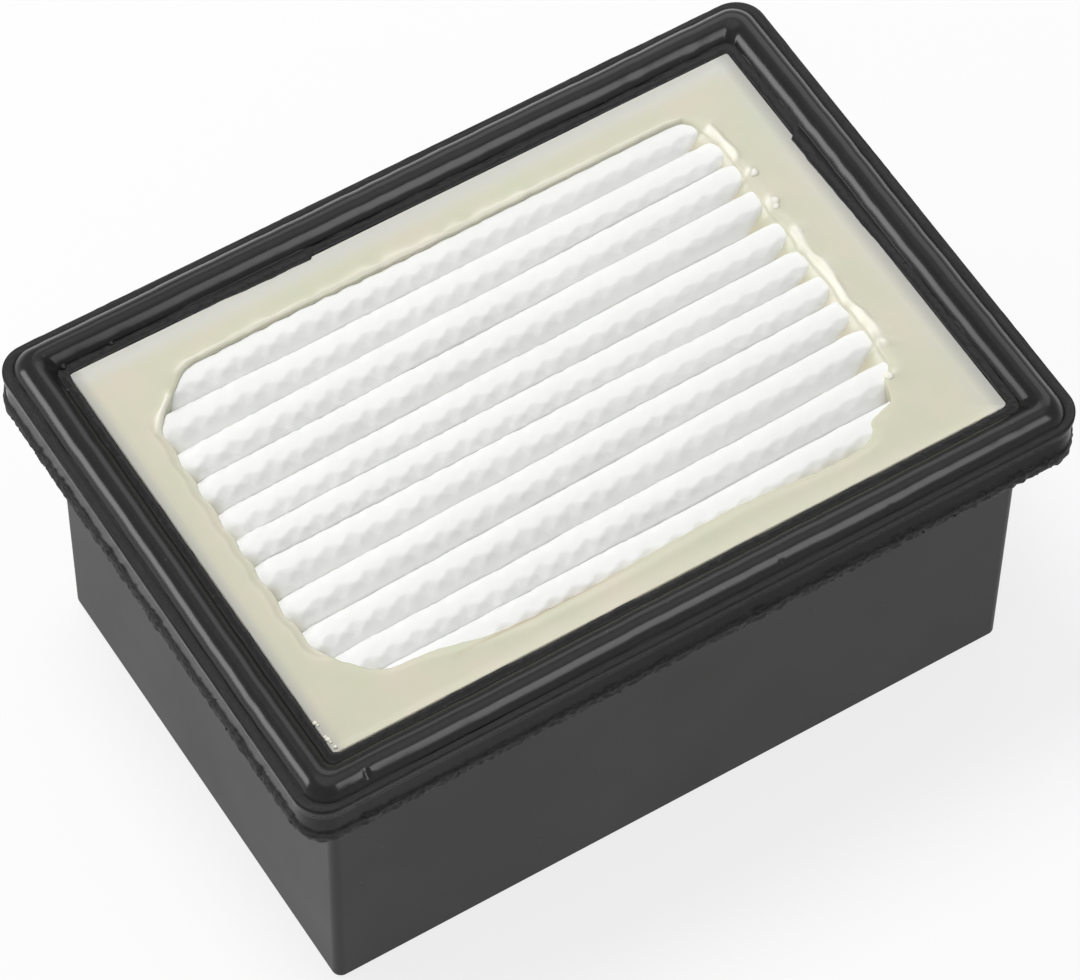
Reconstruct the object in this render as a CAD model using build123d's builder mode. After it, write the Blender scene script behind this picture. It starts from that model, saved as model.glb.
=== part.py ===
from build123d import *
import os
from math import asin, atan2, degrees, hypot, radians, tan

# Dust extractor filter: a moulded box, a seal cast round its rim, a resin bed and a folded media pack.
# Millimetres, Z up, X along the pleats. The origin is the centre of the foot that the box stands on.

# Moulded box
body_length = 80.0
body_width = 54.0
body_draft = 0.34
body_wall = 1.5
body_corner_radius = 1.0
cavity_corner_radius = 0.8
foot_chamfer = 0.5
floor_thickness = 1.6
floor_lip = 4.0
bar_count = 3
bar_width = 1.8
window_corner_radius = 1.0

# Flange at the top of the box, buried in the seal
flange_thickness = 2.0
flange_edge_cover = 1.4
flange_under_cover = 1.6

# Seal
rim_length = 90.0
rim_width = 63.3
rim_corner_radius = 3.6
rim_underside = 35.6
rim_height = 5.7
flash_lip_height = 1.8
flash_lip_proud = 0.5
parting_lip_height = 1.3
parting_lip_proud = 0.2
bead_width = 3.4
bead_height = 1.6
bead_inner_band = 0.9
bead_corner_radius = 2.4

# Resin bed, with an opening that its pour left uneven at the corners
potting_below_ledge = 0.2
potting_depth = 6.0
border_left = 4.2
border_right = 6.7
border_back = 4.8
border_front = 3.3
opening_round = 1.4
back_left_cut = 6.1
front_cut = 7.6
front_left_run = 17.0
front_left_shoulder = (4.2, 2.2)
front_right_run = 6.1
front_right_shoulder = (2.3, 3.1)

# Folded media
media_thickness = 0.6
pleat_pitch = 4.1
crest_fold_radius = 1.45
root_fold_radius = 0.55
tip_below_potting = 0.4
pack_side_room = 2.4
pack_shift = -0.4
pack_floor_clearance = 0.1
end_block_depth = 3.8

# Levels above the foot
ledge_level = rim_underside + rim_height
flange_underside = rim_underside + flange_under_cover
flange_top = flange_underside + flange_thickness
potting_top = ledge_level - potting_below_ledge
potting_underside = potting_top - potting_depth
pack_bottom = floor_thickness + pack_floor_clearance
pack_top = potting_top - tip_below_potting

# Lengths and widths worked out from the walls
cavity_length = body_length - 2 * body_wall
cavity_width = body_width - 2 * body_wall
mouth_length = cavity_length + 2 * ledge_level * tan(radians(body_draft))
mouth_width = cavity_width + 2 * ledge_level * tan(radians(body_draft))
seal_wall_length = rim_length - 2 * flash_lip_proud
seal_wall_width = rim_width - 2 * flash_lip_proud
seal_wall_radius = rim_corner_radius - flash_lip_proud
media_length = cavity_length - 2 * end_block_depth

# Bends of the media: wide crests and narrow roots, joined by straight panels
ridge_count = int((cavity_width - 2 * pack_side_room) / pleat_pitch)
first_ridge = pack_shift - (ridge_count - 1) * pleat_pitch / 2
crest_level = pack_top - crest_fold_radius - media_thickness / 2
root_level = pack_bottom + root_fold_radius + media_thickness / 2
bend_rise = crest_level - root_level
bend_distance = hypot(pleat_pitch / 2, bend_rise)
panel_skew = asin((crest_fold_radius + root_fold_radius) / bend_distance)
panel_lean = degrees(atan2(pleat_pitch / 2, bend_rise) - panel_skew)
bend_turn = 180 - 2 * panel_lean


def panel_foot(bend_end, side):
    """Where an outer panel that leaves its bend at bend_end comes down to the floor."""
    drop = bend_end.Y - pack_bottom
    return (bend_end.X + side * drop * tan(radians(panel_lean)), pack_bottom)


def media_face(lift):
    """Draw one face of the folded sheet, lifted off its middle line, and return its two feet."""
    bends = []
    for ridge in range(ridge_count):
        crest = first_ridge + ridge * pleat_pitch
        bends.append(CenterArc((crest, crest_level), crest_fold_radius + lift, 180 - panel_lean, -bend_turn))
        if ridge < ridge_count - 1:
            root = crest + pleat_pitch / 2
            bends.append(CenterArc((root, root_level), root_fold_radius - lift, 180 + panel_lean, bend_turn))
    for bend, following in zip(bends, bends[1:]):
        Line(bend @ 1, following @ 0)
    front_foot = panel_foot(bends[0] @ 0, -1)
    back_foot = panel_foot(bends[-1] @ 1, 1)
    Line(front_foot, bends[0] @ 0)
    Line(bends[-1] @ 1, back_foot)
    return front_foot, back_foot


# Outside of the box with its flange, before it is hollowed
with BuildPart() as box_outside:
    with BuildSketch():
        Rectangle(body_length, body_width)
    extrude(amount=flange_top)
    draft(box_outside.faces().filter_by(Axis.Z, reverse=True), Plane.XY, -body_draft)
    fillet(box_outside.edges().group_by(Axis.Z)[1], radius=body_corner_radius)
    chamfer(box_outside.edges().group_by(Axis.Z)[0], length=foot_chamfer)
    with BuildSketch(Plane.XY.offset(flange_underside)):
        flange_length = seal_wall_length - 2 * flange_edge_cover
        flange_width = seal_wall_width - 2 * flange_edge_cover
        RectangleRounded(flange_length, flange_width, seal_wall_radius - flange_edge_cover)
    extrude(amount=flange_thickness)

# Space inside the walls, from the floor up to the ledge of the seal
with BuildPart() as cavity:
    with BuildSketch():
        Rectangle(cavity_length, cavity_width)
    extrude(amount=ledge_level)
    draft(cavity.faces().filter_by(Axis.Z, reverse=True), Plane.XY, -body_draft)
    fillet(cavity.edges().group_by(Axis.Z)[1], radius=cavity_corner_radius)
    split(bisect_by=Plane.XY.offset(floor_thickness), keep=Keep.TOP)

# Box: the outside, hollowed, with windows between crossbars at the outlet
with BuildPart() as housing:
    add(box_outside.part)
    add(cavity.part, mode=Mode.SUBTRACT)
    window_pitch = (cavity_length - 2 * floor_lip + bar_width) / (bar_count + 1)
    with BuildSketch():
        with GridLocations(window_pitch, 0, bar_count + 1, 1):
            RectangleRounded(window_pitch - bar_width, cavity_width - 2 * floor_lip, window_corner_radius)
    extrude(amount=floor_thickness, mode=Mode.SUBTRACT)
housing.part.label = "housing"

# Seal: flash lip, wall and parting lip cast round the flange, and the domed bead along the ledge
with BuildPart() as rim_seal:
    with BuildSketch(Plane.XY.offset(rim_underside)):
        RectangleRounded(rim_length, rim_width, rim_corner_radius)
    extrude(amount=flash_lip_height)
    with BuildSketch(Plane.XY.offset(rim_underside)):
        RectangleRounded(seal_wall_length, seal_wall_width, seal_wall_radius)
    extrude(amount=rim_height)
    with BuildSketch(Plane.XY.offset(ledge_level - parting_lip_height)):
        parting_length = seal_wall_length + 2 * parting_lip_proud
        parting_width = seal_wall_width + 2 * parting_lip_proud
        RectangleRounded(parting_length, parting_width, seal_wall_radius + parting_lip_proud)
    extrude(amount=parting_lip_height)
    add(box_outside.part, mode=Mode.SUBTRACT)
    add(cavity.part, mode=Mode.SUBTRACT)
    with BuildLine(Plane.XY.offset(ledge_level)) as bead_path:
        bead_x = mouth_length / 2 + bead_inner_band + bead_width / 2
        bead_y = mouth_width / 2 + bead_inner_band + bead_width / 2
        bead_corners = [(-bead_x, -bead_y), (bead_x, -bead_y), (bead_x, bead_y), (-bead_x, bead_y)]
        FilletPolyline(*bead_corners, radius=bead_corner_radius, close=True)
    along = bead_path.line % 0
    with BuildSketch(Plane(bead_path.line @ 0, x_dir=Vector(0, 0, 1).cross(along), z_dir=along)):
        with BuildLine():
            ThreePointArc((-bead_width / 2, 0), (0, bead_height), (bead_width / 2, 0))
            Line((bead_width / 2, 0), (-bead_width / 2, 0))
        make_face()
    sweep(path=bead_path.line)
rim_seal.part.label = "rim_seal"

# Folded media: one sheet of even thickness
with BuildPart() as pleat_pack:
    with BuildSketch(Plane.YZ):
        with BuildLine():
            dirty_feet = media_face(media_thickness / 2)
            clean_feet = media_face(-media_thickness / 2)
            for dirty_foot, clean_foot in zip(dirty_feet, clean_feet):
                Line(dirty_foot, clean_foot)
        make_face()
    extrude(amount=media_length / 2, both=True)
pleat_pack.part.label = "pleat_pack"

# Space under the dirty face of the media, where resin poured from above cannot go
with BuildPart() as under_media:
    with BuildSketch(Plane.YZ):
        with BuildLine():
            Line(*media_face(media_thickness / 2))
        make_face()
    extrude(amount=media_length / 2, both=True)

# Resin: a frame round the pleat tips that runs down between them, and a block at each end of the folds
with BuildPart() as potting:
    add(cavity.part)
    split(bisect_by=Plane.XY.offset(potting_top), keep=Keep.BOTTOM)
    with BuildSketch():
        Rectangle(media_length, body_width)
    extrude(amount=potting_underside, mode=Mode.SUBTRACT)
    with BuildSketch(Plane.XY.offset(potting_underside)):
        with BuildLine():
            left = border_left - mouth_length / 2
            right = mouth_length / 2 - border_right
            back = mouth_width / 2 - border_back
            front = border_front - mouth_width / 2
            FilletPolyline(
                (left, back - back_left_cut),
                (left + back_left_cut, back),
                (right, back),
                (right, front + front_cut),
                (right - front_right_shoulder[0], front + front_right_shoulder[1]),
                (right - front_right_run, front),
                (left + front_left_run, front),
                (left + front_left_shoulder[0], front + front_left_shoulder[1]),
                (left, front + front_cut),
                radius=opening_round,
                close=True,
            )
        make_face()
    extrude(amount=potting_depth, mode=Mode.SUBTRACT)
    add(under_media.part, mode=Mode.SUBTRACT)
    add(pleat_pack.part, mode=Mode.SUBTRACT)
potting.part.label = "potting"

os.makedirs("parts", exist_ok=True)
export_step(housing.part, "parts/housing.step")
export_step(rim_seal.part, "parts/rim_seal.step")
export_step(potting.part, "parts/potting.step")
export_step(pleat_pack.part, "parts/pleat_pack.step")
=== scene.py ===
from math import cos, pi, radians, sin

import bmesh
import bpy
import numpy as np
from mathutils import Matrix, Vector


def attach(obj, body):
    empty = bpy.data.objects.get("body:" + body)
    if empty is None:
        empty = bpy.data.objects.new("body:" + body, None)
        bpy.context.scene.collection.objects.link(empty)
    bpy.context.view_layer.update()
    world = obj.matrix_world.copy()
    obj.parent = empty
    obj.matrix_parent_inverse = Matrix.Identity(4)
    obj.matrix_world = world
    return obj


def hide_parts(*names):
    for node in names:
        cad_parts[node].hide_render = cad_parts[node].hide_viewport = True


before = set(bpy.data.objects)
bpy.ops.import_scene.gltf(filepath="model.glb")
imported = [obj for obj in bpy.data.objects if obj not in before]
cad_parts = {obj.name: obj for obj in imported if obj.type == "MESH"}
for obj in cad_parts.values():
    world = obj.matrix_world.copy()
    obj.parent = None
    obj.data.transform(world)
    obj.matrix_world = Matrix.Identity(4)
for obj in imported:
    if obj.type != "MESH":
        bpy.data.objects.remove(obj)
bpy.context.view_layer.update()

# A pleated filter cassette: black moulded box, cast seal, cream resin bed and embossed white media.
# Lengths are in millimetres until a mesh is made. The lamps' sizes and distances are in metres.
MM = 0.001

# Rim and mouth of the cassette, as half sizes in plan
RIM_HALF = (45.0, 31.65)
RIM_BEND = 3.6
MOUTH_HALF = (38.745, 25.745)
MOUTH_BEND = 0.8
SIDE_MARGIN = (5.905, 6.255, 5.905, 6.255)
RUN_STEPS = (400, 270, 400, 270)
BEND_STEPS = 18

# Levels above the foot
LEDGE_LEVEL = 41.3
RESIN_LEVEL = 41.0
RESIN_UNDERSIDE = 35.1
CREST_LEVEL = 40.7
MEDIA_FOOT = 1.7
BLOCK_FOOT = 1.6

# Bead of the seal, measured outward from the mouth
BEAD_MIDDLE = 3.0
BEAD_HALF_WIDTH = 1.9
BEAD_HEIGHT = 1.5
BEAD_STEPS = 18
BEAD_ROUNDNESS = 2.25

# Section of the seal: distance from the mouth or the rim, height over the ledge, how coarse the skin is
INNER_LIP = (
    (0.00, -2.10, 0.0), (0.00, -0.55, 0.0), (0.02, -0.28, 0.3), (0.08, -0.12, 0.5), (0.18, -0.02, 0.4),
    (0.32, 0.02, 0.3), (0.50, 0.03, 0.2), (0.70, 0.02, 0.2), (0.88, 0.00, 0.3), (0.98, -0.01, 0.4),
    (1.06, -0.01, 0.4),
)
BEAD_FOOT = ((4.92, -0.02, 0.6), (4.98, -0.01, 1.0))
LEDGE_AND_WALL = (
    (0.88, 0.0, 1.0), (0.80, 0.0, 1.0), (0.72, 0.0, 1.0), (0.64, 0.0, 1.0), (0.56, 0.0, 1.0),
    (0.48, 0.0, 1.0), (0.40, 0.0, 0.5), (0.34, -0.02, 0.3), (0.30, -0.08, 0.3), (0.29, -0.20, 0.2),
    (0.30, -0.50, 0.1), (0.32, -0.85, 0.1), (0.36, -1.12, 0.2), (0.50, -1.26, 0.4), (0.56, -1.40, 0.2),
    (0.55, -1.90, 0.0), (0.52, -2.70, 0.0), (0.50, -3.30, 0.1), (0.49, -3.60, 0.4),
)
FLASH_AND_UNDERSIDE = (
    (0.46, -3.78, 0.8), (0.34, -3.88, 1.0), (0.18, -3.94, 1.0), (0.06, -4.04, 1.0), (0.0, -4.22, 1.0),
    (0.0, -4.45, 1.0), (0.0, -4.70, 1.0), (0.0, -4.95, 1.0), (0.0, -5.20, 1.0), (0.04, -5.42, 1.0),
    (0.14, -5.60, 1.0), (0.34, -5.70, 1.0), (0.90, -5.70, 0.8), (2.40, -5.70, 0.5),
)
AGAINST_BOX = ((1.48, -5.7, 0.0), (1.49, -4.1, 0.0))
ROUND_FLANGE = ((1.9, -4.1, 0.0), (1.9, -2.1, 0.0))

# Marks on the top of the seal: where, how wide, how far up or down
SEAL_MARKS = (
    (-37.6, -29.9, 0.24, -0.3), (-37.1, -29.7, 0.25, 0.1),
    (9.3, -30.1, 0.2, -0.16), (22.0, -30.3, 0.3, -0.06),
)

# Bubbles and drops as small lumps: where, how big, how tall for their width
SEAL_BUBBLES = (
    (-33.4, 26.95, 41.3, 0.34, 0.8), (-38.9, 26.9, 41.32, 0.4, 0.9), (-40.0, 24.1, 41.3, 0.36, 0.8),
    (12.3, 26.6, 41.3, 0.16, 0.8), (39.6, -6.0, 41.3, 0.14, 0.8),
)
RESIN_BLOBS = (
    (32.9, 11.6, 41.0, 0.56, 0.5), (32.75, 7.5, 41.0, 0.62, 0.5), (32.5, 6.9, 40.98, 0.5, 0.5),
    (32.8, 2.95, 41.0, 0.56, 0.5), (32.5, -12.7, 41.0, 0.5, 0.5), (30.8, -16.6, 41.0, 0.52, 0.5),
    (-38.62, -21.9, 41.2, 0.26, 0.8), (-38.5, -22.25, 41.2, 0.16, 0.8), (-38.58, -23.75, 41.2, 0.2, 0.8),
    (-38.5, -24.15, 41.22, 0.28, 0.7), (-38.42, -24.5, 41.2, 0.17, 0.8), (-38.3, -25.2, 41.2, 0.22, 0.8),
)

FLASH_CRUMBS = 44

# Folded media
MEDIA_END = 34.7
MEDIA_THICKNESS = 0.6
VALLEY_GAP = 0.1
PLEAT_PITCH = 4.1
FIRST_ROOT = 22.15
RIDGES_AT_LEFT = (20.0, 15.85, 11.25, 7.35, 3.05, -0.55, -4.05, -8.75, -13.05, -17.25, -20.95)
RIDGES_AT_RIGHT = (20.3, 16.25, 12.85, 8.85, 4.45, 0.35, -3.55, -7.05, -11.15, -15.75, -20.05)
MEDIA_COLUMNS = 212
LINING_COLUMNS = 40
EMBOSS_REPEAT = 2.8
DEEP_LEVELS = (3.4, 24.0, 34.5, 36.5, 37.6)
NEAR_SHARES = (1.0, 0.97, 0.91, 0.84, 0.77, 0.7, 0.63, 0.56, 0.49, 0.42, 0.35, 0.27, 0.18, 0.09)
FAR_SHARES = (0.0, 0.2, 0.4, 0.6, 0.8, 1.0)
ROOT_ROWS = 4

# Edge of the opening in the resin, counterclockwise from the front left
OPENING = (
    (-28.6, -20.2), (-25.5, -20.4), (-22.5, -20.9), (-20.0, -21.6), (-18.3, -21.9), (-14.0, -22.2),
    (-8.0, -22.2), (-2.0, -22.0), (3.0, -21.8), (8.3, -21.7), (13.0, -21.9), (18.3, -22.3),
    (22.0, -22.4), (24.7, -22.1), (25.9, -21.2), (26.4, -20.2), (27.8, -19.6), (29.3, -19.2),
    (29.9, -18.1), (30.2, -16.9), (31.2, -15.9), (31.8, -14.8), (32.0, -12.0), (31.9, -8.0),
    (32.0, -4.0), (31.9, 0.0), (32.0, 4.0), (31.9, 8.0), (32.0, 12.0), (31.9, 15.5),
    (31.7, 18.0), (31.3, 19.6), (30.7, 20.6), (29.5, 21.15), (25.0, 21.25), (18.0, 21.2),
    (10.0, 21.2), (0.0, 21.15), (-10.0, 21.2), (-20.0, 21.2), (-26.0, 21.1), (-28.3, 20.85),
    (-30.0, 19.6), (-31.3, 18.5), (-32.8, 17.2), (-34.0, 15.8), (-34.4, 14.3), (-34.5, 10.0),
    (-34.6, 6.0), (-34.6, 2.0), (-34.6, -2.0), (-34.7, -6.0), (-34.7, -10.0), (-34.4, -13.0),
    (-34.1, -14.8), (-33.2, -16.4), (-31.9, -18.0), (-30.8, -19.2), (-29.7, -19.9),
)
OPENING_STEPS = 1100

# Sides of an end block, by its corners from the foot up
BLOCK_FACES = ((0, 1, 2, 3), (4, 5, 6, 7), (0, 1, 5, 4), (1, 2, 6, 5), (2, 3, 7, 6), (3, 0, 4, 7))

# How strongly the resin stands up in a lip along the right of the opening, by Y
RIGHT_LIP = (
    (-17.4, 0.0), (-16.6, 0.8), (-15.9, 0.15), (-13.3, 0.1), (-12.7, 0.9), (-12.0, 0.25), (-11.2, 0.95),
    (-7.0, 0.8), (-3.0, 1.0), (2.4, 0.95), (3.2, 1.0), (4.1, 0.2), (6.2, 0.15), (6.9, 0.7), (7.6, 1.0),
    (8.5, 0.15), (11.0, 0.1), (11.7, 0.9), (12.4, 0.15), (13.4, 0.2), (14.0, 1.0), (18.4, 0.95),
    (18.9, 0.1),
)


def wander(seed, place, knots):
    """Smooth random values from -1 to 1 along a closed run, with place going from 0 to 1 round it."""
    table = np.random.default_rng(seed).uniform(-1, 1, knots)
    at = np.asarray(place) * knots
    low = np.floor(at).astype(int)
    blend = at - low
    blend = blend * blend * (3 - 2 * blend)
    return table[low % knots] * (1 - blend) + table[(low + 1) % knots] * blend


def mottle(seed, x, y):
    """Smooth random values from -1 to 1 over a plane, one knot per unit."""
    size = 128
    table = np.random.default_rng(seed).uniform(-1, 1, (size, size))
    x, y = np.broadcast_arrays(np.asarray(x, float), np.asarray(y, float))
    low_x = np.floor(x).astype(int)
    low_y = np.floor(y).astype(int)
    blend_x = x - low_x
    blend_y = y - low_y
    blend_x = blend_x * blend_x * (3 - 2 * blend_x)
    blend_y = blend_y * blend_y * (3 - 2 * blend_y)
    near = table[low_x % size, low_y % size] * (1 - blend_x)
    near = near + table[(low_x + 1) % size, low_y % size] * blend_x
    far = table[low_x % size, (low_y + 1) % size] * (1 - blend_x)
    far = far + table[(low_x + 1) % size, (low_y + 1) % size] * blend_x
    return near * (1 - blend_y) + far * blend_y


def hump(distance, width):
    """A soft bump of height 1."""
    return np.exp(-((distance / width) ** 2))


def ramp(value, start, end):
    """Goes smoothly from 0 at start to 1 at end."""
    share = np.clip((np.asarray(value, float) - start) / (end - start), 0, 1)
    return share * share * (3 - 2 * share)


def grid_faces(rows, columns, loop_rows=False, loop_columns=False, first=0):
    """Four-sided faces over a grid of points that is stored row by row."""
    faces = []
    for row in range(rows if loop_rows else rows - 1):
        here = first + row * columns
        there = first + (row + 1) % rows * columns
        for column in range(columns if loop_columns else columns - 1):
            after = (column + 1) % columns
            faces.append((here + column, here + after, there + after, there + column))
    return faces


def make_piece(name, node, points, faces, material, masks=None):
    """Make one closed piece that stands for a CAD node, with named masks for its material."""
    mesh = bpy.data.meshes.new(name)
    mesh.from_pydata((np.asarray(points).reshape(-1, 3) * MM).tolist(), [], faces)
    shell = bmesh.new()
    shell.from_mesh(mesh)
    bmesh.ops.recalc_face_normals(shell, faces=shell.faces)
    shell.to_mesh(mesh)
    shell.free()
    mesh.polygons.foreach_set("use_smooth", [True] * len(mesh.polygons))
    for mask, values in (masks or {}).items():
        layer = mesh.attributes.new(mask, "FLOAT", "POINT")
        layer.data.foreach_set("value", np.asarray(values, np.float32).ravel())
    mesh.materials.append(material)
    piece = bpy.data.objects.new(name, mesh)
    bpy.context.scene.collection.objects.link(piece)
    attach(piece, "root")
    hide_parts(node)
    return piece


def add_lumps(points, faces, masks, lumps, values, seed):
    """Add small uneven lumps to the points, faces and masks of a piece."""
    ball = bmesh.new()
    bmesh.ops.create_icosphere(ball, subdivisions=2, radius=1)
    ball.verts.ensure_lookup_table()
    shape = np.array([corner.co for corner in ball.verts])
    sides = [[corner.index for corner in side.verts] for side in ball.faces]
    ball.free()
    dice = np.random.default_rng(seed)
    points = np.asarray(points).reshape(-1, 3)
    for x, y, z, size, tallness in lumps:
        first = len(points)
        uneven = shape * (1 + 0.05 * dice.uniform(-1, 1, (len(shape), 1)))
        points = np.vstack([points, np.array((x, y, z)) + uneven * size * np.array((1, 1, tallness))])
        faces = faces + [tuple(first + corner for corner in side) for side in sides]
    added = len(shape) * len(lumps)
    longer = {}
    for name, mask in masks.items():
        longer[name] = np.concatenate([np.ravel(mask), np.full(added, values[name])])
    return points, faces, longer


def rim_path(half, bend):
    """Points round a rectangle with rounded corners, counterclockwise from the front left."""
    straight = np.array(half) - bend
    signs = ((1, -1), (1, 1), (-1, 1), (-1, -1))
    path = []
    for side, (turn, last) in enumerate(zip(signs, signs[-1:] + signs[:-1])):
        outward = np.array(((0, -1), (1, 0), (0, 1), (-1, 0))[side])
        start = straight * last + outward * bend
        end = straight * turn + outward * bend
        share = np.arange(RUN_STEPS[side])[:, None] / RUN_STEPS[side]
        path.append(start + (end - start) * share)
        angle = radians(90) * (side - 1 + np.arange(BEND_STEPS) / BEND_STEPS)
        path.append(straight * turn + bend * np.stack([np.cos(angle), np.sin(angle)], 1))
    return np.concatenate(path)


def rim_margin():
    """Distance from the mouth to the outside of the rim at each point of the path."""
    margin = []
    for side in range(4):
        here, following = SIDE_MARGIN[side], SIDE_MARGIN[(side + 1) % 4]
        margin.append(np.full(RUN_STEPS[side], here))
        margin.append(here + (following - here) * np.arange(BEND_STEPS) / BEND_STEPS)
    return np.concatenate(margin)


# Shader helpers


def new_material(name):
    """A material with its Principled shader, ready for links."""
    material = bpy.data.materials.new(name)
    material.use_nodes = True
    nodes = material.node_tree.nodes
    return material, nodes, material.node_tree.links, nodes["Principled BSDF"]


def place_node(nodes, kind, **settings):
    """Add a node and set its properties, or its inputs where the name is an input's."""
    node = nodes.new(kind)
    for name, value in settings.items():
        if hasattr(node, name):
            setattr(node, name, value)
        else:
            node.inputs[name].default_value = value
    return node


def mix_colour(nodes, links, share, first, second):
    """Blend two colours, each a socket or a plain colour."""
    node = place_node(nodes, "ShaderNodeMix", data_type="RGBA")
    for socket, value in ((node.inputs[0], share), (node.inputs[6], first), (node.inputs[7], second)):
        if isinstance(value, bpy.types.NodeSocket):
            links.new(value, socket)
        else:
            socket.default_value = value
    return node.outputs[2]


def blend_value(nodes, links, share, first, second):
    """Go from first to second as share goes from 0 to 1."""
    node = place_node(nodes, "ShaderNodeMapRange")
    links.new(share, node.inputs["Value"])
    node.inputs["To Min"].default_value = first
    node.inputs["To Max"].default_value = second
    return node.outputs["Result"]


def make_cast_grain():
    """Node group: the fine grain and the slow clouding of a cast or moulded skin."""
    group = bpy.data.node_groups.new("cast_grain", "ShaderNodeTree")
    face = group.interface
    face.new_socket("Grain Scale", in_out="INPUT", socket_type="NodeSocketFloat")
    face.new_socket("Cloud Scale", in_out="INPUT", socket_type="NodeSocketFloat")
    face.new_socket("Grain", in_out="OUTPUT", socket_type="NodeSocketFloat")
    face.new_socket("Cloud", in_out="OUTPUT", socket_type="NodeSocketFloat")
    nodes, links = group.nodes, group.links
    given = nodes.new("NodeGroupInput")
    result = nodes.new("NodeGroupOutput")
    where = nodes.new("ShaderNodeTexCoord")
    for wanted, detail in (("Grain", 3.0), ("Cloud", 2.0)):
        texture = place_node(nodes, "ShaderNodeTexNoise", Detail=detail, Roughness=0.55)
        links.new(where.outputs["Object"], texture.inputs["Vector"])
        links.new(given.outputs[f"{wanted} Scale"], texture.inputs["Scale"])
        links.new(texture.outputs["Fac"], result.inputs[wanted])
    return group


def make_dust_specks():
    """Node group: a mask of small separate specks."""
    group = bpy.data.node_groups.new("dust_specks", "ShaderNodeTree")
    face = group.interface
    face.new_socket("Scale", in_out="INPUT", socket_type="NodeSocketFloat")
    face.new_socket("Size", in_out="INPUT", socket_type="NodeSocketFloat")
    face.new_socket("Specks", in_out="OUTPUT", socket_type="NodeSocketFloat")
    nodes, links = group.nodes, group.links
    given = nodes.new("NodeGroupInput")
    result = nodes.new("NodeGroupOutput")
    where = nodes.new("ShaderNodeTexCoord")
    cells = place_node(nodes, "ShaderNodeTexVoronoi", Randomness=1.0)
    links.new(where.outputs["Object"], cells.inputs["Vector"])
    links.new(given.outputs["Scale"], cells.inputs["Scale"])
    inside = place_node(nodes, "ShaderNodeMath", operation="LESS_THAN")
    links.new(cells.outputs["Distance"], inside.inputs[0])
    links.new(given.outputs["Size"], inside.inputs[1])
    links.new(inside.outputs[0], result.inputs["Specks"])
    return group


CAST_GRAIN = make_cast_grain()
DUST_SPECKS = make_dust_specks()


def place_group(nodes, group, **values):
    """Add a shared node group with its own values."""
    node = nodes.new("ShaderNodeGroup")
    node.node_tree = group
    for name, value in values.items():
        node.inputs[name.replace("_", " ")].default_value = value
    return node


def seal_rubber():
    """Glossy black cast polyurethane, rough and dusty where the mould parted."""
    material, nodes, links, skin = new_material("seal_rubber")
    coarse = place_node(nodes, "ShaderNodeAttribute", attribute_name="coarse")
    gloss = place_node(nodes, "ShaderNodeAttribute", attribute_name="gloss")
    grain = place_group(nodes, CAST_GRAIN, Grain_Scale=2600.0, Cloud_Scale=140.0)
    specks = place_group(nodes, DUST_SPECKS, Scale=420.0, Size=0.05)
    black, soft_black = (0.012, 0.012, 0.012, 1), (0.018, 0.018, 0.0175, 1)
    shade = mix_colour(nodes, links, grain.outputs["Cloud"], black, soft_black)
    dull = mix_colour(nodes, links, coarse.outputs["Fac"], shade, (0.036, 0.036, 0.036, 1))
    dusty = mix_colour(nodes, links, specks.outputs["Specks"], dull, (0.04, 0.04, 0.038, 1))
    links.new(dusty, skin.inputs["Base Color"])
    skin.inputs["Specular IOR Level"].default_value = 0.04
    links.new(blend_value(nodes, links, gloss.outputs["Fac"], 0.0, 0.9), skin.inputs["Coat Weight"])
    skin.inputs["Coat Roughness"].default_value = 0.19
    smooth = blend_value(nodes, links, grain.outputs["Cloud"], 0.18, 0.28)
    rough = place_node(nodes, "ShaderNodeMix", data_type="FLOAT")
    links.new(coarse.outputs["Fac"], rough.inputs[0])
    links.new(smooth, rough.inputs[2])
    rough.inputs[3].default_value = 0.55
    links.new(rough.outputs[0], skin.inputs["Roughness"])
    bump = place_node(nodes, "ShaderNodeBump", Distance=0.0002)
    links.new(grain.outputs["Grain"], bump.inputs["Height"])
    links.new(blend_value(nodes, links, coarse.outputs["Fac"], 0.015, 0.8), bump.inputs["Strength"])
    links.new(bump.outputs["Normal"], skin.inputs["Normal"])
    return material


def housing_plastic():
    """Satin black moulded plastic with a fine spark-eroded grain."""
    material, nodes, links, skin = new_material("housing_plastic")
    grain = place_group(nodes, CAST_GRAIN, Grain_Scale=3200.0, Cloud_Scale=70.0)
    specks = place_group(nodes, DUST_SPECKS, Scale=300.0, Size=0.04)
    black, soft_black = (0.021, 0.021, 0.0205, 1), (0.028, 0.028, 0.027, 1)
    shade = mix_colour(nodes, links, grain.outputs["Cloud"], black, soft_black)
    dusty = mix_colour(nodes, links, specks.outputs["Specks"], shade, (0.05, 0.05, 0.048, 1))
    links.new(dusty, skin.inputs["Base Color"])
    skin.inputs["Specular IOR Level"].default_value = 0.22
    links.new(blend_value(nodes, links, grain.outputs["Cloud"], 0.38, 0.5), skin.inputs["Roughness"])
    bump = place_node(nodes, "ShaderNodeBump", Distance=0.00002, Strength=0.5)
    links.new(grain.outputs["Grain"], bump.inputs["Height"])
    links.new(bump.outputs["Normal"], skin.inputs["Normal"])
    return material


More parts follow.
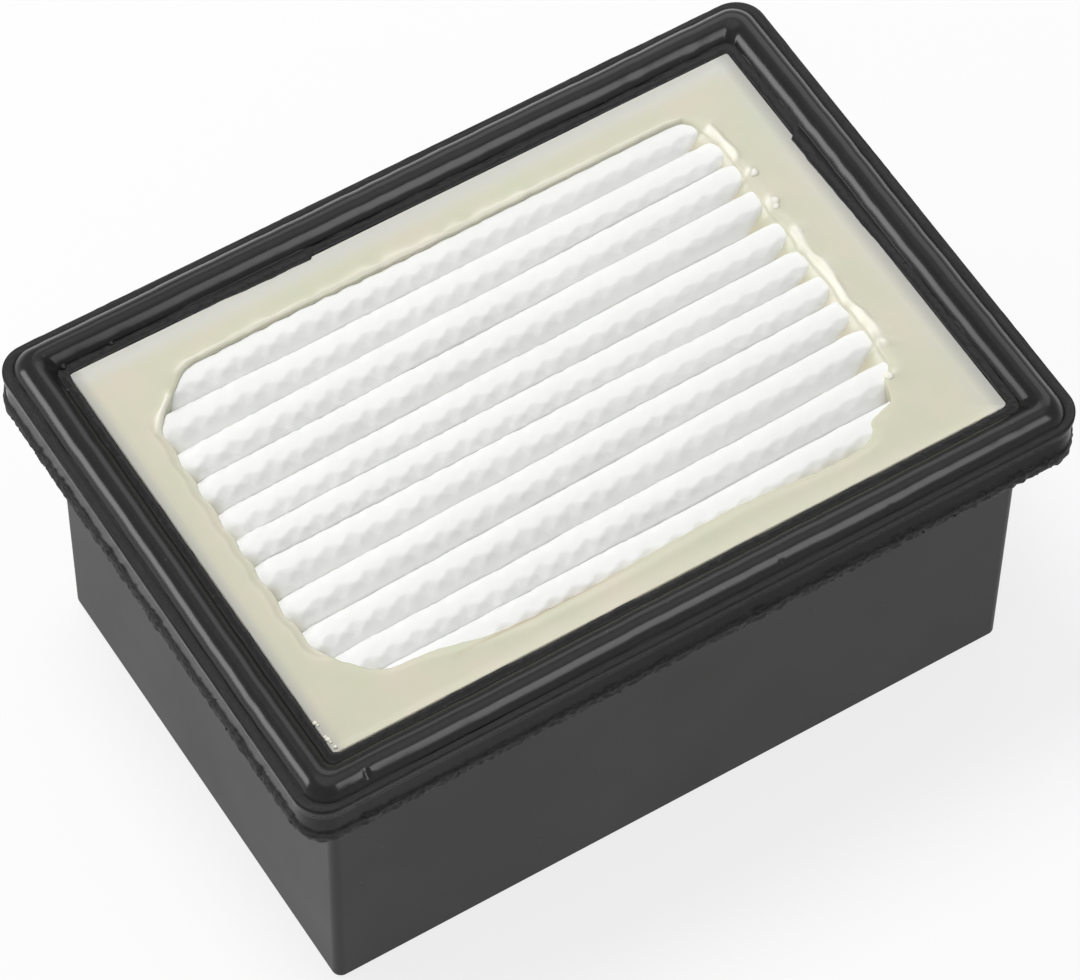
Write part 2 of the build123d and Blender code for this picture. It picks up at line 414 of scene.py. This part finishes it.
def potting_resin():
    """Glossy cream polyurethane, paler in its lips of thinner resin with a painted highlight there, with a
    painted sheen near the back and right of the seal, greyer beside the seal at left and right as painted
    shade, with a brown band along the front edge and painted shade low on the right wall.
    """
    material, nodes, links, skin = new_material("potting_resin")
    thin_and_highlight = place_node(nodes, "ShaderNodeAttribute", attribute_name="thin_and_highlight")
    brown_and_shade = place_node(nodes, "ShaderNodeAttribute", attribute_name="brown_and_shade")
    pale = place_node(nodes, "ShaderNodeAttribute", attribute_name="pale")
    grey = place_node(nodes, "ShaderNodeAttribute", attribute_name="grey")
    grain = place_group(nodes, CAST_GRAIN, Grain_Scale=900.0, Cloud_Scale=110.0)
    tint = place_group(nodes, CAST_GRAIN, Grain_Scale=60.0, Cloud_Scale=150.0)
    specks = place_group(nodes, DUST_SPECKS, Scale=130.0, Size=0.03)
    greenish, pinkish = (0.575, 0.625, 0.455, 1), (0.715, 0.635, 0.53, 1)
    cream = mix_colour(nodes, links, tint.outputs["Cloud"], greenish, pinkish)
    # Greyish white near the back and right of the seal: a painted sheen.
    with_sheen = mix_colour(nodes, links, pale.outputs["Fac"], cream, (0.68, 0.68, 0.63, 1))
    # Painted shade beside the seal at left and right.
    with_seal_shade = mix_colour(nodes, links, grey.outputs["Fac"], with_sheen, (0.42, 0.42, 0.40, 1))
    # Lips of thinner resin are paler, and this mask also paints a highlight on raised lips, blobs and the
    # streak at back left.
    lip = mix_colour(nodes, links, thin_and_highlight.outputs["Fac"], with_seal_shade, (0.96, 0.93, 0.81, 1))
    # A brown band along the front edge, and painted shade low on the right wall between the pleat ends.
    with_brown_and_shade = mix_colour(nodes, links, brown_and_shade.outputs["Fac"], lip, (0.42, 0.30, 0.17, 1))
    dusty = mix_colour(nodes, links, specks.outputs["Specks"], with_brown_and_shade, (0.45, 0.37, 0.26, 1))
    links.new(dusty, skin.inputs["Base Color"])
    links.new(blend_value(nodes, links, grain.outputs["Cloud"], 0.16, 0.28), skin.inputs["Roughness"])
    skin.inputs["Subsurface Weight"].default_value = 0.12
    skin.inputs["Subsurface Radius"].default_value = (1.0, 0.9, 0.6)
    skin.inputs["Subsurface Scale"].default_value = 0.0008
    bump = place_node(nodes, "ShaderNodeBump", Distance=0.00005, Strength=0.25)
    links.new(grain.outputs["Grain"], bump.inputs["Height"])
    links.new(bump.outputs["Normal"], skin.inputs["Normal"])
    return material


def filter_media():
    """Matte white bonded fibre, with painted shade, darker and warmer, low in the folds near both ends."""
    material, nodes, links, skin = new_material("filter_media")
    end_shade = place_node(nodes, "ShaderNodeAttribute", attribute_name="end_shade")
    fibre = place_group(nodes, CAST_GRAIN, Grain_Scale=2200.0, Cloud_Scale=160.0)
    specks = place_group(nodes, DUST_SPECKS, Scale=70.0, Size=0.012)
    dim_white, clear_white = (0.87, 0.875, 0.865, 1), (0.93, 0.93, 0.915, 1)
    white = mix_colour(nodes, links, fibre.outputs["Cloud"], dim_white, clear_white)
    # Painted shade: darker and warmer low in the folds near both ends.
    with_end_shade = mix_colour(nodes, links, end_shade.outputs["Fac"], white, (0.60, 0.54, 0.41, 1))
    dusty = mix_colour(nodes, links, specks.outputs["Specks"], with_end_shade, (0.3, 0.3, 0.28, 1))
    links.new(dusty, skin.inputs["Base Color"])
    links.new(blend_value(nodes, links, fibre.outputs["Grain"], 0.75, 0.95), skin.inputs["Roughness"])
    skin.inputs["Specular IOR Level"].default_value = 0.2
    bump = place_node(nodes, "ShaderNodeBump", Distance=0.00006, Strength=0.5)
    links.new(fibre.outputs["Grain"], bump.inputs["Height"])
    links.new(bump.outputs["Normal"], skin.inputs["Normal"])
    return material


# Seal


def seal_section():
    """Points round the cut seal, each with the edge that it is measured from."""
    section = [("mouth", *point) for point in INNER_LIP]
    for step in range(1, BEAD_STEPS):
        across = -cos(pi * step / BEAD_STEPS)
        rise = BEAD_HEIGHT * (1 - abs(across) ** BEAD_ROUNDNESS)
        section.append(("mouth", BEAD_MIDDLE + BEAD_HALF_WIDTH * across, rise, 0.0))
    section += [("mouth", *point) for point in BEAD_FOOT]
    section += [("rim", *point) for point in LEDGE_AND_WALL + FLASH_AND_UNDERSIDE]
    section += [("mouth", *point) for point in AGAINST_BOX]
    section += [("rim", *point) for point in ROUND_FLANGE]
    return section


def seal_bands(from_mouth, far, height):
    """Which points of the section lie on each part of the seal."""
    from_rim = ~from_mouth
    return {
        "ledge": from_rim & (height > -0.05),
        "edge": from_rim & (far < 0.45) & (height > -0.3),
        "wall": from_rim & (height < -0.3) & (height > -3.7),
        "flash": from_rim & (height < -3.7) & (far < 0.5),
        "bead": from_mouth & (height > 0.03) & (far > 1.1),
        "lip": from_mouth & (far < 1.08) & (height > -1),
    }


def seal_gloss(bands, far, outward):
    """How glossy the skin is: most on the bead, less on its inner flank at the front and left."""
    across = (far - BEAD_MIDDLE) / BEAD_HALF_WIDTH
    gloss = bands["bead"] * (1 - 0.7 * ramp(np.abs(across), 0.9, 0.98))
    gloss = gloss + 0.4 * bands["lip"] + 0.25 * bands["ledge"] + 0.15 * bands["flash"]
    near_side = np.clip(np.clip(-outward, 0, 1).sum(1), 0, 1)[:, None]
    inner_flank = bands["bead"] * ramp(-across, 0.15, 0.5)
    gloss = gloss * (1 - 0.85 * inner_flank * near_side)
    gloss = gloss + 0.3 * bands["wall"] * np.clip(-outward[:, :1], 0, 1)
    return gloss + 0.7 * bands["edge"] * np.clip(outward[:, 1:], 0, 1)


def flash_crumbs(rim, outward):
    """Loose crumbs along the torn flash, as lumps."""
    dice = np.random.default_rng(15)
    crumbs = []
    for at in dice.integers(0, len(rim), FLASH_CRUMBS):
        size = dice.uniform(0.08, 0.19)
        spot = rim[at] - outward[at] * (1.1 * size + dice.uniform(0.05, 0.25))
        crumbs.append((spot[0], spot[1], dice.uniform(35.9, 37.3), size, 0.7))
    return crumbs


def make_seal():
    """The cast seal round the rim, with its bead, ledge, parting edge and torn flash."""
    mouth = rim_path(MOUTH_HALF, MOUTH_BEND)
    rim = rim_path(RIM_HALF, RIM_BEND)
    margin = rim_margin()
    section = seal_section()
    steps = len(mouth)
    round_rim = np.arange(steps) / steps
    from_mouth = np.array([edge == "mouth" for edge, *_ in section])
    drawn = np.array([distance for _, distance, *_ in section])
    level = np.array([rise for _, _, rise, _ in section])
    coarse = np.tile([skin for *_, skin in section], (steps, 1))
    column = np.arange(len(section))
    outward = (rim - mouth) / margin[:, None]
    bands = seal_bands(from_mouth, drawn, level)
    ledge, flash, bead, lip = (bands[name] for name in ("ledge", "flash", "bead", "lip"))
    far = np.tile(drawn, (steps, 1))
    height = np.tile(level, (steps, 1))

    crumbs = mottle(3, round_rim[:, None] * 900, column[None, :] * 0.8)
    torn = np.clip(0.3 * wander(5, round_rim, 90) + 0.8 * wander(6, round_rim, 420) - 0.25, 0, 1)[:, None]
    far[:, flash] += (0.22 + 0.12 * crumbs - 0.24 * torn)[:, flash] * ramp(0.5 - far[:, flash], 0.0, 0.3)
    far[:, flash] = np.maximum(far[:, flash], 0.01)
    lifted = np.clip(0.25 * torn + 0.06 * crumbs, -0.02, 0.4)
    height[:, flash] += lifted[:, flash] * (level[flash] < -5.0)
    lines = mottle(8, round_rim[:, None] * 40, column[None, :] * 1.3)
    lines = lines + 0.6 * mottle(9, round_rim[:, None] * 420, column[None, :])
    height[:, ledge] += 0.06 * lines[:, ledge]
    sink = 0.04 + 0.04 * wander(11, round_rim, 24)
    height[:, bead] -= sink[:, None] * ramp(height[:, bead], 0.1, 1.4)
    far[:, bead] += (0.05 * wander(12, round_rim, 18) + 0.035 * wander(19, round_rim, 170))[:, None]
    x, y = mouth.T
    spill = -0.42 * ramp(x, 38.0, 38.4) * ramp(13.4 - y, 0, 0.3) * ramp(y, -14, 8)
    spill = spill - 0.34 * ramp(y, 25.0, 25.4) * ramp(-x, 10.6, 11.2) * ramp(x + 26, 0, 10)
    ragged = 0.06 * wander(13, round_rim, 60) + 0.05 * wander(14, round_rim, 240) + 0.06
    far[:, lip] += (ragged + spill)[:, None] * (far[:, lip] > 0.01)
    height[:, lip] += 0.03 * crumbs[:, lip]

    points = np.empty((steps, len(section), 3))
    for place in column:
        reach = drawn[place]
        if from_mouth[place]:
            half = np.array(MOUTH_HALF) + reach
            turned = reach / SIDE_MARGIN[0]
            pushed = far[:, place] - reach
        else:
            half = np.array(RIM_HALF) - reach
            turned = 1 - reach / SIDE_MARGIN[0]
            pushed = reach - far[:, place]
        run = rim_path(half, MOUTH_BEND + (RIM_BEND - MOUTH_BEND) * turned**2)
        points[:, place, :2] = run + outward * pushed[:, None]
    points[..., 2] = LEDGE_LEVEL + height
    for x, y, width, rise in SEAL_MARKS:
        near = hump(np.hypot(points[..., 0] - x, points[..., 1] - y), width)
        points[..., 2] += rise * near * (bead | ledge)[None, :]
    faces = grid_faces(steps, len(section), loop_rows=True, loop_columns=True)
    masks = {"coarse": np.clip(coarse + 0.15 * crumbs, 0, 1), "gloss": seal_gloss(bands, drawn, outward)}
    torn_skin = {"coarse": 1.0, "gloss": 0.15}
    bubble_skin = {"coarse": 0.0, "gloss": 1.0}
    points, faces, masks = add_lumps(points, faces, masks, flash_crumbs(rim, outward), torn_skin, 16)
    points, faces, masks = add_lumps(points, faces, masks, SEAL_BUBBLES, bubble_skin, 17)
    return make_piece("rim_seal_cast", "rim_seal", points, faces, seal_rubber(), masks)


# Resin bed


def opening_edge():
    """Evenly spaced points on the smooth closed edge of the opening, with inward directions."""
    knots = np.array(OPENING)
    count = len(knots)
    place = np.arange(count * 40) / 40
    low = np.floor(place).astype(int)
    share = (place - low)[:, None]
    before, here, following, last = (knots[(low + shift) % count] for shift in (-1, 0, 1, 2))
    curve = 0.5 * (
        2 * here
        + (following - before) * share
        + (2 * before - 5 * here + 4 * following - last) * share**2
        + (3 * here - before - 3 * following + last) * share**3
    )
    closed = np.vstack([curve, curve[:1]])
    length = np.concatenate([[0], np.cumsum(np.hypot(*np.diff(closed, axis=0).T))])
    even = np.arange(OPENING_STEPS) / OPENING_STEPS * length[-1]
    edge = np.stack([np.interp(even, length, closed[:, axis]) for axis in (0, 1)], 1)
    ahead = np.roll(edge, -4, 0) - np.roll(edge, 4, 0)
    ahead /= np.hypot(*ahead.T)[:, None]
    inward = np.stack([-ahead[:, 1], ahead[:, 0]], 1)
    return edge, inward


def ridge_middle(ridge, x):
    """Where the crest of one pleat runs, counted from the back."""
    share = (x + 34.0) / 66.0
    straight = RIDGES_AT_LEFT[ridge] + (RIDGES_AT_RIGHT[ridge] - RIDGES_AT_LEFT[ridge]) * share
    return straight + 0.07 * wander(40 + ridge, (x + 40) / 80, 7)


def end_blocks(first):
    """The two resin blocks that close the ends of the folds, with points numbered from first."""
    points, faces = [], []
    for side in (-1, 1):
        start = first + len(points)
        for level, outer, half in ((BLOCK_FOOT, 38.49, 25.49), (RESIN_UNDERSIDE - 0.01, 38.68, 25.68)):
            inner = MEDIA_END + 0.02
            for x, y in ((inner, -half), (outer, -half), (outer, half), (inner, half)):
                points.append((side * x, y, level))
        faces += [tuple(start + corner for corner in face) for face in BLOCK_FACES]
    return points, faces


def make_potting():
    """The resin bed: a ring round the opening, its wall down between the pleats, and two end blocks."""
    edge, inward = opening_edge()
    steps = len(edge)
    round_edge = np.arange(steps) / steps
    reach = np.minimum(MOUTH_HALF[0] / np.abs(edge[:, 0]), MOUTH_HALF[1] / np.abs(edge[:, 1]))
    mouth = edge * reach[:, None]
    span = np.hypot(*(mouth - edge).T)

    right = ramp(edge[:, 0], 29.0, 31.5) * ramp(edge[:, 1], -18.0, -16.0)
    back = ramp(edge[:, 1], 20.0, 20.9)
    left = ramp(-edge[:, 0], 33.2, 34.2)
    front = ramp(-edge[:, 1], 19.5, 21.0)
    at_crest = np.zeros(steps)
    for ridge in range(len(RIDGES_AT_LEFT)):
        off_crest = edge[:, 1] - ridge_middle(ridge, edge[:, 0]) + 0.3
        at_crest = np.maximum(at_crest, hump(off_crest, 1.25))
    scallop = 0.34 * left * (0.85 - at_crest) + 0.16 * right * wander(24, round_edge, 110)
    edge = edge + inward * (scallop + (0.05 - 0.03 * left) * wander(21, round_edge, 230))[:, None]

    lip_at, lip_strength = np.array(RIGHT_LIP).T
    right_lip = right * np.interp(edge[:, 1], lip_at, lip_strength)
    # A raised streak at back left, painted bright through the lip mask as a highlight.
    streak = ramp(-edge[:, 0], 30.6, 31.8) * ramp(edge[:, 1], 14.9, 16.2) * ramp(19.4 - edge[:, 1], 0, 1)
    back_lip = 0.4 * back * ramp(30.4 - edge[:, 0], 0, 0.9) * (1 + 0.35 * wander(26, round_edge, 60))
    lip = right_lip * (0.85 + 0.3 * wander(22, round_edge, 160)) + back_lip + 0.9 * streak
    lip_rise = 0.42 * lip + 0.03 * wander(23, round_edge, 90)
    lip_width = 0.52 + 0.14 * wander(27, round_edge, 140) - 0.14 * back - 0.16 * streak
    slope = 0.55 * left + 0.5 * front + 0.1

    rows, thin_and_highlight = [], []
    from_mouth = (0.0, 0.10, 0.24, 0.45, 0.75, 1.15, 1.7)
    from_edge = (1.5, 1.15, 0.9, 0.7, 0.52, 0.37, 0.24, 0.13, 0.05)
    top = [distance / span for distance in from_mouth]
    top += [1 - (span - 1.7 - 1.5) * (1 - part) / span - 1.5 / span for part in (0.35, 0.7)]
    top += [1 - distance / span for distance in from_edge]
    for share in top:
        plan = mouth + (edge - mouth) * share[:, None]
        to_mouth, to_edge = share * span, (1 - share) * span
        level = RESIN_LEVEL + 0.06 * mottle(25, plan[:, 0] / 9, plan[:, 1] / 9)
        level = level + 0.14 * hump(to_mouth, 0.9) + 0.06 * np.exp(-to_mouth / 0.3)
        level = level + lip_rise * hump(to_edge - lip_width, lip_width) - 0.12 * ramp(-to_edge, -0.3, 0.0)
        level = level - slope * (0.35 + 0.35 * left) * ramp(-to_edge, -1.2, 0.0)
        rows.append(np.column_stack([plan, np.minimum(level, LEDGE_LEVEL + 0.1)]))
        # Lip mask: paler thinner resin with a painted highlight on the raised lips, and a painted light
        # line along the left edge.
        on_lip = np.clip(1.25 * lip, 0, 1) * hump(to_edge - 0.9 * lip_width, lip_width)
        thin_and_highlight.append(on_lip + 0.35 * left * hump(to_edge, 0.5))
    crown = rows[-1][:, 2]
    for drop in (0.08, 0.25, 0.5, 0.9, 1.5, 2.3, 3.3, 4.5):
        climb = np.minimum(0.75 * drop**1.5, 3.0) * right
        plan = edge + inward * (0.04 + slope * drop * 0.55 + climb)[:, None]
        rows.append(np.column_stack([plan, crown - drop]))
        thin_and_highlight.append(0.5 * np.clip(lip, 0, 1) * np.exp(-drop / 0.4))
    wall_foot = rows[-1][:, :2]
    for plan, level in ((wall_foot, RESIN_UNDERSIDE), (mouth, RESIN_UNDERSIDE), (mouth, RESIN_LEVEL - 1.5)):
        rows.append(np.column_stack([plan, np.full(steps, level)]))
        thin_and_highlight.append(np.zeros(steps))
    points = np.stack(rows)
    faces = grid_faces(len(rows), steps, loop_rows=True, loop_columns=True)

    x, y, z = np.moveaxis(points, -1, 0)
    # A brown band along the front edge of the opening, and painted shade deeper down the right wall.
    brown_and_shade = 0.7 * hump(x + 13.0, 7.5) * hump(y + 22.2, 0.22) + 0.2 * right * ramp(RESIN_LEVEL - z, 0.6, 1.8)
    # Painted sheen near the back and right of the seal.
    pale = np.clip(0.9 * ramp(y, 23.0, 25.0) + 0.45 * ramp(x, 35.2, 37.8), 0, 1)
    # Painted shade on the resin beside the seal at left and right.
    grey = np.clip(0.8 * ramp(x, 36.9, 38.7) + 0.8 * ramp(-x, 37.2, 38.7), 0, 1)
    block_points, block_faces = end_blocks(brown_and_shade.size)
    points = np.vstack([points.reshape(-1, 3), block_points])
    faces += block_faces
    extra = np.zeros(len(points) - brown_and_shade.size)
    masks = {"thin_and_highlight": np.stack(thin_and_highlight), "brown_and_shade": brown_and_shade, "pale": pale, "grey": grey}
    masks = {name: np.concatenate([mask.ravel(), extra]) for name, mask in masks.items()}
    # The lumps are painted near white through the lip mask, partly as a painted highlight.
    plain = {"thin_and_highlight": 0.9, "brown_and_shade": 0.0, "pale": 0.0, "grey": 0.0}
    points, faces, masks = add_lumps(points, faces, masks, RESIN_BLOBS, plain, 28)
    return make_piece("resin_bed", "potting", points, faces, potting_resin(), masks)


# Folded media


def zigzag(place):
    """Goes straight from 1 to 0 and back over each unit."""
    return np.abs(2 * (place - np.floor(place)) - 1)


def bent(distance, start):
    """Nought up to the start, then rising one for one, with a slightly rounded bend."""
    past = distance - start
    return 0.5 * (past + np.sqrt(past**2 + 0.0006))


def slope_drop(ridge, x, distance, strength):
    """How far the sheet falls at a distance from the crest, steeper below each zigzag row of embossing."""
    along = (x + 40) / 80
    repeat = x / EMBOSS_REPEAT + 0.37 * ridge + 0.12 * wander(80 + ridge, along, 9)
    first = 0.5 + 0.8 * zigzag(repeat) + 0.12 * wander(90 + ridge, along, 30)
    second = 1.15 + 0.65 * zigzag(repeat + 0.5) + 0.1 * wander(110 + ridge, along, 30)
    first = 0.95 + (first - 0.95) * strength
    second = 1.5 + (second - 1.5) * strength
    rounding = 0.04 * distance + 0.04 * distance**3
    return rounding + 0.62 * bent(distance, first) + 0.9 * bent(distance, second)


def ridge_profile(ridge, x, skin):
    """Rows of points over one pleat of the sheet, from its front root over the crest to its back root."""
    middle = ridge_middle(ridge, x)
    count = len(RIDGES_AT_LEFT)
    front = (middle + ridge_middle(ridge + 1, x)) / 2 if ridge + 1 < count else middle - PLEAT_PITCH / 2
    back = (middle + ridge_middle(ridge - 1, x)) / 2 if ridge else middle + PLEAT_PITCH / 2
    nose = np.clip((-32.4 - x) / 2.3, 0, 1) ** 2
    pinch = ramp(x, 26.0, 32.4)
    strength = 1 - 0.5 * ramp(x, -10, 22)
    top = CREST_LEVEL - 0.12 - 0.10 * wander(70 + ridge, (x + 40) / 80, 6) - 0.6 * nose - skin
    front_half = (middle - front - VALLEY_GAP / 2) * (1 - 0.12 * nose) - skin
    back_half = (back - middle - VALLEY_GAP / 2) * (1 - 0.12 * nose - 0.1 * pinch) - skin
    front_root = FIRST_ROOT - PLEAT_PITCH * (ridge + 1) + VALLEY_GAP / 2 + skin
    back_root = FIRST_ROOT - PLEAT_PITCH * ridge - VALLEY_GAP / 2 - skin
    near, far = [], []
    for share in NEAR_SHARES:
        distance = front_half * share
        drop = slope_drop(ridge, x, distance, strength) * (1 + 0.25 * pinch) + 1.6 * nose * share**1.5
        near.append((middle - distance, top - drop))
    for share in FAR_SHARES:
        distance = back_half * share
        far.append((middle + distance, top - 1.1 * slope_drop(ridge + 20, x, distance, 0.7 * strength)))
    rows = []
    for level in DEEP_LEVELS:
        share = (level - MEDIA_FOOT) / (near[0][1] - MEDIA_FOOT)
        rows.append((front_root + (near[0][0] - front_root) * share, np.full_like(x, level)))
    rows += near + far
    for level in DEEP_LEVELS[::-1]:
        share = (level - MEDIA_FOOT) / (far[-1][1] - MEDIA_FOOT)
        rows.append((back_root + (far[-1][0] - back_root) * share, np.full_like(x, level)))
    return rows


def root_profile(ridge, x, skin):
    """The fold at the foot of a valley, behind one pleat."""
    root = FIRST_ROOT - PLEAT_PITCH * (ridge + 1)
    half = VALLEY_GAP / 2 + skin
    low = MEDIA_FOOT + MEDIA_THICKNESS - skin
    rows = []
    for turn in np.radians(np.linspace(-60, 60, ROOT_ROWS)):
        across = np.full_like(x, root - half * sin(turn))
        rows.append((across, np.full_like(x, low + half * (1 - cos(turn)))))
    return rows


def sheet_face(x, skin):
    """One face of the folded sheet from the front foot to the back foot, as rows of (y, z)."""
    count = len(RIDGES_AT_LEFT)
    rows = []
    for ridge in range(count - 1, -1, -1):
        profile = ridge_profile(ridge, x, skin)
        if ridge == count - 1:
            rows.append((profile[0][0], np.full_like(x, MEDIA_FOOT)))
        rows += profile
        if ridge:
            rows += root_profile(ridge - 1, x, skin)
        else:
            rows.append((profile[-1][0], np.full_like(x, MEDIA_FOOT)))
    points = np.empty((len(rows), len(x), 3))
    points[..., 0] = x[None, :]
    points[..., 1] = np.stack([y for y, _ in rows])
    points[..., 2] = np.stack([z for _, z in rows])
    return points


def roughen(points):
    """Give the upper part of the dirty face the unevenness of bonded fibre."""
    x, y, z = np.moveaxis(points, -1, 0)
    lumps = mottle(60, x * 1.1, y * 1.5) + 0.6 * mottle(61, x * 2.3, y * 3.1)
    points[..., 2] += 0.025 * lumps * ramp(z, 37.5, 38.8)
    return points


def make_media():
    """The folded sheet: its dirty face, its clean face, and the edges between them."""
    fine = np.linspace(-MEDIA_END, MEDIA_END, MEDIA_COLUMNS)
    coarse_at = np.round(np.linspace(0, MEDIA_COLUMNS - 1, LINING_COLUMNS)).astype(int)
    dirty = roughen(sheet_face(fine, 0.0))
    clean = sheet_face(fine[coarse_at], MEDIA_THICKNESS)
    rows = len(dirty)
    faces = grid_faces(rows, MEDIA_COLUMNS)
    start = rows * MEDIA_COLUMNS
    faces += grid_faces(rows, LINING_COLUMNS, first=start)
    for row in (0, rows - 1):
        for column in range(LINING_COLUMNS - 1):
            low, high = coarse_at[column], coarse_at[column + 1]
            border = [row * MEDIA_COLUMNS + place for place in range(low, high + 1)]
            corner = start + row * LINING_COLUMNS + column
            faces.append(tuple(border + [corner + 1, corner]))
    for dirty_column, clean_column in ((0, 0), (MEDIA_COLUMNS - 1, LINING_COLUMNS - 1)):
        for row in range(rows - 1):
            faces.append((
                row * MEDIA_COLUMNS + dirty_column,
                (row + 1) * MEDIA_COLUMNS + dirty_column,
                start + (row + 1) * LINING_COLUMNS + clean_column,
                start + row * LINING_COLUMNS + clean_column,
            ))
    points = np.vstack([dirty.reshape(-1, 3), clean.reshape(-1, 3)])
    x, y, z = points.T
    # Painted shade deep in the folds near both ends, darker the lower it lies.
    low = ramp(CREST_LEVEL - z, 0.7, 2.0)
    end_shade = np.clip(0.5 * low * ramp(x, 28.8, 31.4) + 0.6 * low * ramp(-x, 33.0, 34.4), 0, 1)
    masks = {"end_shade": end_shade}
    piece = make_piece("folded_media", "pleat_pack", points, faces, filter_media(), masks)
    return piece


# Stage, light and camera

TABLE_HALF = 4000.0
TABLE_CLEARANCE = 0.05
TABLE_GLOW = 0.8
LAMP_AIM_LEVEL = 30.0


def make_floor():
    """A plain white table top, just below the foot, that keeps the shadow."""
    mesh = bpy.data.meshes.new("table_top")
    far = TABLE_HALF * MM
    low = -TABLE_CLEARANCE * MM
    corners = [(-far, -far, low), (far, -far, low), (far, far, low), (-far, far, low)]
    mesh.from_pydata(corners, [], [(0, 1, 2, 3)])
    material, nodes, links, skin = new_material("table_white")
    skin.inputs["Base Color"].default_value = (0.93, 0.93, 0.93, 1)
    skin.inputs["Roughness"].default_value = 0.9
    skin.inputs["Specular IOR Level"].default_value = 0.0
    seen = nodes.new("ShaderNodeLightPath")
    looked_at = place_node(nodes, "ShaderNodeMath", operation="MAXIMUM")
    links.new(seen.outputs["Is Camera Ray"], looked_at.inputs[0])
    links.new(seen.outputs["Is Glossy Ray"], looked_at.inputs[1])
    any_look = place_node(nodes, "ShaderNodeMath", operation="MAXIMUM")
    links.new(looked_at.outputs[0], any_look.inputs[0])
    links.new(seen.outputs["Is Transmission Ray"], any_look.inputs[1])
    share = place_node(nodes, "ShaderNodeMath", operation="MULTIPLY")
    links.new(any_look.outputs[0], share.inputs[0])
    share.inputs[1].default_value = TABLE_GLOW
    glow = nodes.new("ShaderNodeEmission")
    both = nodes.new("ShaderNodeMixShader")
    links.new(share.outputs[0], both.inputs[0])
    links.new(skin.outputs[0], both.inputs[1])
    links.new(glow.outputs[0], both.inputs[2])
    links.new(both.outputs[0], nodes["Material Output"].inputs["Surface"])
    mesh.materials.append(material)
    table = bpy.data.objects.new("table_top", mesh)
    bpy.context.scene.collection.objects.link(table)


def make_softbox(name, direction, distance, width, height, brightness, mirrored=True, lights=True):
    """A lamp that faces the object, and may stay out of reflections or give nothing but reflections."""
    lamp = bpy.data.lights.new(name, "AREA")
    lamp.shape = "RECTANGLE"
    lamp.size = width
    lamp.size_y = height
    lamp.energy = brightness * pi * width * height
    holder = bpy.data.objects.new(name, lamp)
    way = Vector(direction).normalized()
    holder.location = Vector((0, 0, LAMP_AIM_LEVEL * MM)) + way * distance
    holder.rotation_mode = "QUATERNION"
    holder.rotation_quaternion = way.to_track_quat("Z", "Y")
    holder.visible_camera = False
    holder.visible_glossy = mirrored
    holder.visible_diffuse = lights
    bpy.context.scene.collection.objects.link(holder)


def make_surroundings():
    """A pale room, brightest overhead and grey half way up."""
    world = bpy.data.worlds.new("white_room")
    world.use_nodes = True
    nodes, links = world.node_tree.nodes, world.node_tree.links
    where = nodes.new("ShaderNodeTexCoord")
    parts = nodes.new("ShaderNodeSeparateXYZ")
    links.new(where.outputs["Generated"], parts.inputs[0])
    level = nodes.new("ShaderNodeValToRGB")
    shades = level.color_ramp.elements
    for height, shade in ((0.35, 0.3), (0.84, 0.3)):
        shades.new(height).color = (shade, shade, shade, 1)
    shades[0].color = (0.55, 0.55, 0.55, 1)
    shades[3].position = 0.95
    shades[3].color = (0.85, 0.85, 0.85, 1)
    links.new(parts.outputs["Z"], level.inputs["Fac"])
    links.new(level.outputs["Color"], nodes["Background"].inputs["Color"])
    nodes["Background"].inputs["Strength"].default_value = 1.0
    bpy.context.scene.world = world


VIEW_AZIMUTH = radians(-32.404)
VIEW_ELEVATION = radians(56.217)
VIEW_ROLL = radians(0.856)
VIEW_DISTANCE = 645.2
VIEW_AIM = (0.0, 0.0, 18.0)
VIEW_ASIDE = (-0.384, -2.977)
VIEW_LENS = 210.34


def make_camera():
    """The camera of the photograph."""
    flat = cos(VIEW_ELEVATION)
    back = Vector((sin(VIEW_AZIMUTH) * flat, -cos(VIEW_AZIMUTH) * flat, sin(VIEW_ELEVATION)))
    level = Vector((cos(VIEW_AZIMUTH), sin(VIEW_AZIMUTH), 0))
    rise = back.cross(level)
    across = level * cos(VIEW_ROLL) + rise * sin(VIEW_ROLL)
    upward = rise * cos(VIEW_ROLL) - level * sin(VIEW_ROLL)
    place = Vector(VIEW_AIM) + back * VIEW_DISTANCE - across * VIEW_ASIDE[0] - upward * VIEW_ASIDE[1]
    camera = bpy.data.cameras.new("camera")
    camera.sensor_width = 36
    camera.lens = VIEW_LENS
    camera.clip_start = 0.01
    holder = bpy.data.objects.new("camera", camera)
    turn = Matrix((across, upward, back)).transposed().to_4x4()
    holder.matrix_world = Matrix.Translation(place * MM) @ turn
    bpy.context.scene.collection.objects.link(holder)
    bpy.context.scene.camera = holder


make_seal()
make_potting()
make_media()
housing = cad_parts["housing"]
housing.data.materials.clear()
housing.data.materials.append(housing_plastic())

make_floor()
make_softbox("top_lamp", (-0.12, 0.26, 0.955), 0.9, 0.3, 0.3, 16.8, mirrored=False)
make_softbox("front_softbox", (0.3, -0.72, 0.63), 0.9, 0.3, 0.48, 3.0, lights=False)
make_softbox("left_softbox", (-0.82, 0.47, 0.32), 0.9, 0.36, 0.3, 4.5)
make_softbox("back_softbox", (0.5, 0.5, 0.60), 0.9, 0.8, 0.5, 1.1, lights=False)
make_surroundings()
make_camera()
bpy.context.scene.view_settings.view_transform = "Standard"
